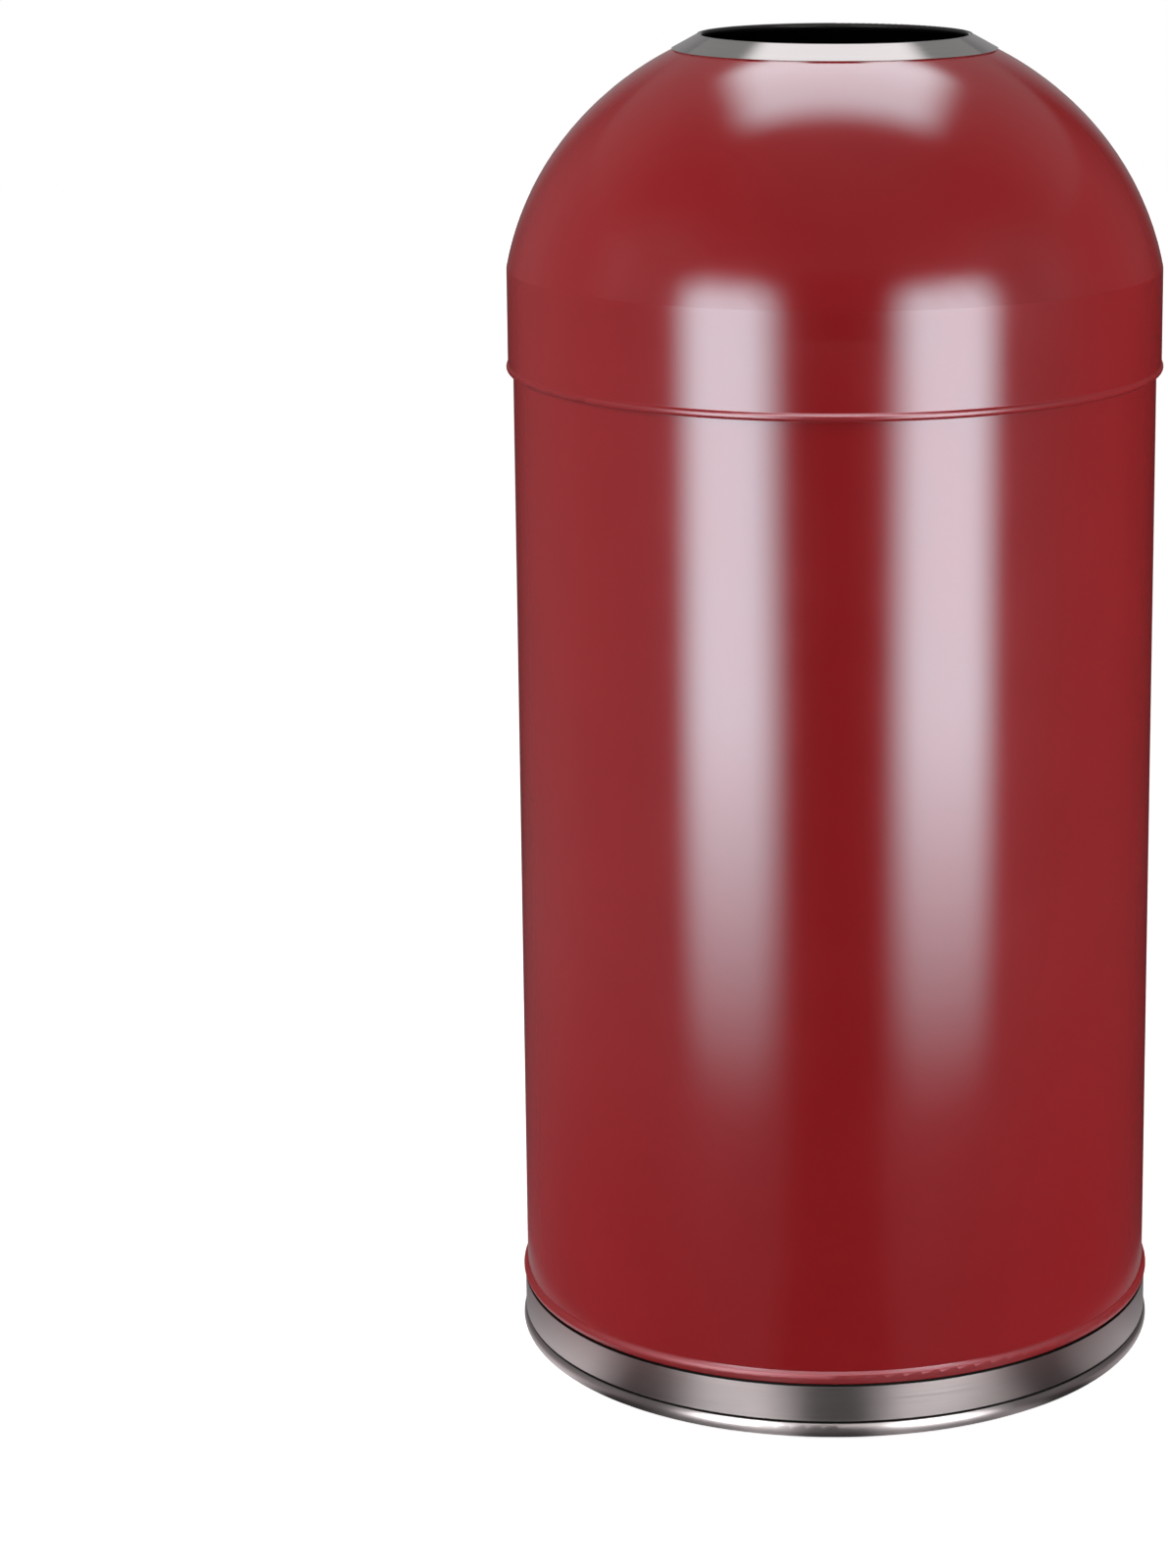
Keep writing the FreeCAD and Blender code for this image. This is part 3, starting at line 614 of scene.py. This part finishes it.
# %% [markdown]
# ## Floor and background
# The photograph has a plain white ground with hardly any shadow. The floor is a pale matt sheet, and
# to rays from the camera it also glows, so that it reaches white without more light on the bin. The
# bin's soft shadow still darkens it. The world is white to the same rays. Rays off a mirror or
# through glass are counted in, so that metal and glass would show the ground that the camera sees.

# %% Floor and background
floor_half = 6.0
floor_colour = linear("ececec")
floor_glow = 0.8
sky_light = 0.3
sky_white = 1


def seen_as_white(tree):
    """A factor that is 1 for rays from the camera, off a mirror or through glass."""
    rays = add(tree, "ShaderNodeLightPath")
    seen = add(tree, "ShaderNodeMath", {0: rays.outputs["Is Camera Ray"],
                                        1: rays.outputs["Is Glossy Ray"]}, operation="MAXIMUM")
    return add(tree, "ShaderNodeMath", {0: seen.outputs[0],
                                        1: rays.outputs["Is Transmission Ray"]},
               operation="MAXIMUM").outputs[0]


bpy.ops.mesh.primitive_plane_add(size=2 * floor_half)
floor = bpy.context.object
floor.name = "studio_floor"
paper, tree, shader = new_material("white_paper_floor", Base_Color=floor_colour, Roughness=0.6,
                                   Emission_Color=(1, 1, 1, 1))
glow = add(tree, "ShaderNodeMath", {0: seen_as_white(tree), 1: floor_glow}, operation="MULTIPLY")
tree.links.new(glow.outputs[0], shader.inputs["Emission Strength"])
floor.data.materials.append(paper)

world = bpy.data.worlds.new("white_studio")
world.use_nodes = True
bpy.context.scene.world = world
tree = world.node_tree
level = add(tree, "ShaderNodeMapRange", {"Value": seen_as_white(tree), "To Min": sky_light,
                                         "To Max": sky_white})
sky = tree.nodes["Background"]
sky.inputs["Color"].default_value = (1, 1, 1, 1)
tree.links.new(level.outputs[0], sky.inputs["Strength"])
print("floor", 2 * floor_half, "m wide, world lights the bin at", sky_light)

# %% [markdown]
# ## What the shiny surfaces see
# The lacquer in the photograph is deep red between its two bright strips and paler at the sides,
# and the base band is dark in front and grey at its ends. So the room in front of the set was
# dark, and the table and walls at its sides were pale. Here a round drape, a table top and a
# ceiling stand in for them. Only mirror-like rays see them: the camera still sees white, and they
# take no light from the bin. How bright they are depends on the direction, as a list of bearings
# to the right of the bin's front and levels, where 1 is white.

# %% What the shiny surfaces see
dark_cloth = linear("1c1a1a")


def glowing_cloth(name, glow_colour):
    """A dark dull cloth whose brightness is its glow alone."""
    return new_material(name, Base_Color=dark_cloth, Roughness=1, Specular_IOR_Level=0,
                        Emission_Color=glow_colour)


def round_the_bin(tree, levels):
    """A brightness that changes with the bearing from the bin."""
    place = add(tree, "ShaderNodeTexCoord").outputs["Object"]
    parts = add(tree, "ShaderNodeSeparateXYZ", {0: place})
    front = add(tree, "ShaderNodeMath", {0: parts.outputs["Y"], 1: -1}, operation="MULTIPLY")
    turn = add(tree, "ShaderNodeMath", {0: parts.outputs["X"], 1: front.outputs[0]},
               operation="ARCTAN2")
    share = add(tree, "ShaderNodeMapRange", {"Value": turn.outputs[0], "From Min": -math.pi,
                                             "From Max": math.pi})
    wheel = add(tree, "ShaderNodeValToRGB", {0: share.outputs[0]})
    stops = wheel.color_ramp.elements
    for degrees, level in levels[1:-1]:
        stops.new((degrees + 180) / 360)
    for stop, (degrees, level) in zip(stops, levels):
        stop.position = (degrees + 180) / 360
        stop.color = (level, level, level, 1)
    return wheel.outputs["Color"]


print("the cloths' own colour in linear light:", [round(part, 3) for part in dark_cloth[:3]])

# %% [markdown]
# ## The table top
# The base band is so low that it mirrors only the few centimetres of table next to it, so that ring
# has levels of its own, with a finer list. Beyond it the table takes on some of the bin's red and
# turns white further out.

# %% The table top
table_levels = [(-180, 0.02), (-152, 0.05), (-128, 0.18), (-106, 0.28), (-80, 0.3), (-55, 0.3),
                (-18, 0.28), (-11, 0.01), (11, 0.01), (18, 0.28), (55, 0.24), (80, 0.18),
                (106, 0.13), (128, 0.06), (152, 0.02), (180, 0.02)]
beside_levels = [(-180, 0.12), (-105, 0.3), (-92, 0.4), (-81, 0.6), (-72, 0.88), (-63, 1.1),
                 (-57, 1.05), (-51, 0.5), (-45, 0.03), (-36, 0.03), (-29, 0.14), (-20, 0.16),
                 (-14, 0.5), (-9, 0.45), (-5, 0.05), (5, 0.02), (8, 0.25), (13, 0.45), (18, 0.2),
                 (28, 0.2), (34, 0.45), (38, 0.3), (43, 0.04), (51, 0.03), (58, 0.4), (66, 0.62),
                 (75, 0.7), (85, 0.48), (105, 0.25), (180, 0.12)]
beside_radius = (0.235, 0.265)
near_radius = (0.35, 1.0)
near_share = 0.9
near_red = (1, 0.45, 0.5, 1)
far_white = (1, 0.97, 1, 1)

table_top, tree, shader = glowing_cloth("table_round_the_bin", far_white)
place = add(tree, "ShaderNodeTexCoord").outputs["Object"]
radius = add(tree, "ShaderNodeVectorMath", {0: place}, operation="LENGTH").outputs["Value"]
beyond_ring = add(tree, "ShaderNodeMapRange", {"Value": radius, "From Min": beside_radius[0],
                                               "From Max": beside_radius[1]}).outputs[0]
away = add(tree, "ShaderNodeMapRange", {"Value": radius, "From Min": near_radius[0],
                                        "From Max": near_radius[1]}).outputs[0]
spread = add(tree, "ShaderNodeMapRange", {"Value": away, "To Min": near_share, "To Max": 1})
wide = add(tree, "ShaderNodeMath", {0: round_the_bin(tree, table_levels), 1: spread.outputs[0]},
           operation="MULTIPLY")
glow = add(tree, "ShaderNodeMix", {"Factor": beyond_ring, 2: round_the_bin(tree, beside_levels),
                                   3: wide.outputs[0]})
tree.links.new(glow.outputs[0], shader.inputs["Emission Strength"])
tint = add(tree, "ShaderNodeMix", {"Factor": away, 6: near_red, 7: far_white}, data_type="RGBA")
tint = add(tree, "ShaderNodeMix", {"Factor": beyond_ring, 6: far_white, 7: tint.outputs[2]},
           data_type="RGBA")
tree.links.new(tint.outputs[2], shader.inputs["Emission Color"])
print("the ring beside the band ends", beside_radius[1], "m from the bin's axis")

# %% [markdown]
# ## The drape and the ceiling
# The foot of the drape carries on the table's level and its top has the walls' levels, so no line
# shows where table and drape meet. The ceiling gets brighter towards the back.

# %% The drape and the ceiling
wall_levels = [(-180, 0.32), (-166, 0.3), (-152, 0.11), (-128, 0.26), (-82, 0.3), (-68, 0.06),
               (68, 0.04), (82, 0.2), (128, 0.16), (152, 0.04), (166, 0.3), (180, 0.32)]
table_level_ends = 0.9
ceiling_front, ceiling_front_y = 0.16, -0.3
ceiling_back, ceiling_back_y = 0.3, 1.2

drape, tree, shader = glowing_cloth("drape_round_the_set", far_white)
place = add(tree, "ShaderNodeNewGeometry").outputs["Position"]
rise = add(tree, "ShaderNodeSeparateXYZ", {0: place}).outputs["Z"]
rise = add(tree, "ShaderNodeMapRange", {"Value": rise, "From Min": 0,
                                        "From Max": table_level_ends})
glow = add(tree, "ShaderNodeMix", {"Factor": rise.outputs[0],
                                   2: round_the_bin(tree, table_levels),
                                   3: round_the_bin(tree, wall_levels)})
tree.links.new(glow.outputs[0], shader.inputs["Emission Strength"])

plaster, tree, shader = glowing_cloth("grey_ceiling_plaster", (1, 1, 1, 1))
place = add(tree, "ShaderNodeTexCoord").outputs["Object"]
parts = add(tree, "ShaderNodeSeparateXYZ", {0: place})
glow = add(tree, "ShaderNodeMapRange", {"Value": parts.outputs["Y"], "From Min": ceiling_front_y,
                                        "From Max": ceiling_back_y, "To Min": ceiling_front,
                                        "To Max": ceiling_back})
tree.links.new(glow.outputs[0], shader.inputs["Emission Strength"])
print("made", drape.name, "and", plaster.name)

# %% [markdown]
# ## The set's three surfaces
# The drape is an open cylinder round the set. The table top lies a hair above the floor, so that the
# two don't flicker, and the ceiling closes the drape's top. All three are seen in reflections alone,
# because they aren't part of the bin.

# %% The set's three surfaces
drape_radius = 4.0
drape_height = 2.6
drape_sides = 96
table_lift = 0.0002


def only_in_reflections(thing, name, cloth):
    """Let a stage piece be seen in shiny surfaces alone."""
    thing.name = name
    thing.data.materials.append(cloth)
    thing.visible_camera = False
    thing.visible_diffuse = False
    thing.visible_transmission = False
    thing.visible_volume_scatter = False
    thing.visible_shadow = False
    print(name, "is seen in reflections alone")


bpy.ops.mesh.primitive_cylinder_add(radius=drape_radius, depth=drape_height, vertices=drape_sides,
                                    end_fill_type="NOTHING", location=(0, 0, drape_height / 2))
only_in_reflections(bpy.context.object, "round_drape", drape)
for name, height, cloth in (("mirrored_table", table_lift, table_top),
                            ("ceiling", drape_height, plaster)):
    bpy.ops.mesh.primitive_circle_add(radius=drape_radius, vertices=drape_sides, fill_type="NGON",
                                      location=(0, 0, height))
    only_in_reflections(bpy.context.object, name, cloth)

# %% [markdown]
# ## A softbox
# A softbox is a lamp behind a stretched cloth, which is dimmer towards the edges because the bulb
# behind it is small. A plain area lamp is as bright at its edges as in its middle, and would be
# mirrored as a hard-edged block. Its Parametric coordinates run from 0 to 1 across it, so each edge
# can fade in from 0 or 1 over its own width. Such lamps are a slightly cool or warm white.

# %% A softbox
cool_white = (0.94, 0.97, 1.0)
warm_white = (1, 0.96, 0.99)
plain_white = (1, 1, 1)


def softbox(name, place, aim, size, radiance, colour=cool_white, reflected=True,
            soft_edges=(0.2, 0.27, 0.19)):
    """A rectangular lamp that faces a point. Its radiance is 1 where white paper would look white.

    A reflected lamp is seen in shiny surfaces alone, and any other lights the colours alone. The
    soft edges are those at the two sides, at the bottom, which fades evenly, and at the top.
    """
    width, height = size
    lamp = bpy.data.lights.new(name, "AREA")
    lamp.shape = "RECTANGLE"
    lamp.size = width
    lamp.size_y = height
    lamp.energy = radiance * width * height * math.pi
    lamp.color = colour
    lamp.use_nodes = True
    tree = lamp.node_tree
    cloth = add(tree, "ShaderNodeNewGeometry").outputs["Parametric"]
    parts = add(tree, "ShaderNodeSeparateXYZ", {0: cloth})
    side, bottom, top = soft_edges
    level = 1
    for socket, edge, inside, curve in (("X", 0, side / width, "SMOOTHSTEP"),
                                        ("X", 1, 1 - side / width, "SMOOTHSTEP"),
                                        ("Y", 0, bottom / height, "LINEAR"),
                                        ("Y", 1, 1 - top / height, "SMOOTHSTEP")):
        fade = add(tree, "ShaderNodeMapRange", {"Value": parts.outputs[socket], "From Min": edge,
                                                "From Max": inside}, interpolation_type=curve)
        level = add(tree, "ShaderNodeMath", {0: level, 1: fade.outputs[0]},
                    operation="MULTIPLY").outputs[0]
    tree.links.new(level, tree.nodes["Emission"].inputs["Strength"])
    box = bpy.data.objects.new(name, lamp)
    box.location = place
    box.rotation_euler = (Vector(aim) - Vector(place)).to_track_quat("-Z", "Y").to_euler()
    box.visible_camera = False
    box.visible_diffuse = not reflected
    box.visible_glossy = reflected
    bpy.context.scene.collection.objects.link(box)
    print(name, width, "by", height, "m, radiance", radiance)
    return box


# %% [markdown]
# ## The strips of light
# The two strips on the lacquer are low softboxes, one each side of the camera, and a third stands
# behind the bin for the views from there. They are set where a mirror on the bin's surface would
# show them: a surface that faces 20 degrees to one side mirrors what stands 40 degrees to that side.

# %% The strips of light
strip_height = 0.97
strip_radiance = 10.0
front_distance, back_distance = 0.75, 1.1


def bearing(degrees, distance, height):
    """A point at an angle to the right of the bin's front, at a distance from its axis."""
    angle = math.radians(degrees)
    return Vector((distance * math.sin(angle), -distance * math.cos(angle), height))


for name, degrees, width, distance in (("left_strip", -32.8, 0.56, front_distance),
                                       ("right_strip", 34.4, 0.585, front_distance),
                                       ("back_strip", 180, 0.4, back_distance)):
    softbox(name, bearing(degrees, distance, strip_height / 2), (0, 0, strip_height / 2),
            (width, strip_height), strip_radiance)

# %% [markdown]
# ## The light overhead
# The pale patch on top of the dome is one lamp overhead. Lacquer mirrors a few percent of a lamp,
# while polished steel mirrors most of it and would turn flat white. So light linking hides this lamp
# from the mouth ring, and gives the ring a card of its own in the same place that is about as
# bright as white paper.

# %% The light overhead
overhead_place, overhead_aim = (0.03, 0.5, 2.2), (0.03, 0.5, 0)
overhead_size = (1.65, 1.35)

top_patch = softbox("top_patch", overhead_place, overhead_aim, overhead_size, radiance=6.1,
                    soft_edges=(0.38, 0.3, 0.3))
ring_card = softbox("ring_card", overhead_place, overhead_aim, overhead_size, radiance=1.05,
                    colour=warm_white, soft_edges=(0.3, 0.3, 0.3))
for lamp, state in ((top_patch, "EXCLUDE"), (ring_card, "INCLUDE")):
    lit = bpy.data.collections.new(lamp.name + "_on_ring")
    lit.objects.link(nodes["mouth_ring"])
    lit.collection_objects[0].light_linking.link_state = state
    lamp.light_linking.receiver_collection = lit

# %% [markdown]
# ## The small lamps and the fill
# Two small lamps hang face down in front of the bin, one just over the bead and one low down. Walls
# can't mirror them, but the rounded bead, lip and rolled foot do, and so each keeps its bright line
# between the two strips. Broad plain lamps light the colours from both sides and from above.

# %% The small lamps and the fill
foot_light_y, foot_light_height = -0.37, 0.3
bead_light_y, bead_light_height = -0.245, 0.64

softbox("foot_light", (0, foot_light_y, foot_light_height), (0, foot_light_y, 0), (0.24, 0.1),
        radiance=3.3, colour=warm_white, soft_edges=(0.05, 0.02, 0.02))
softbox("bead_light", (0, bead_light_y, bead_light_height), (0, bead_light_y, 0), (0.26, 0.07),
        radiance=7.0, soft_edges=(0.08, 0.01, 0.01))
for name, place, aim_height, size, radiance in (
        ("left_fill", bearing(-70, 2.0, 1.3), 0.6, (1.4, 1.4), 5),
        ("right_fill", bearing(70, 2.2, 1.0), 0.4, (1.6, 1.8), 3.2),
        ("top_fill", (0, -0.4, 2.6), 0.4, (2.0, 2.0), 0.9)):
    softbox(name, place, (0, 0, aim_height), size, radiance, colour=plain_white, reflected=False)
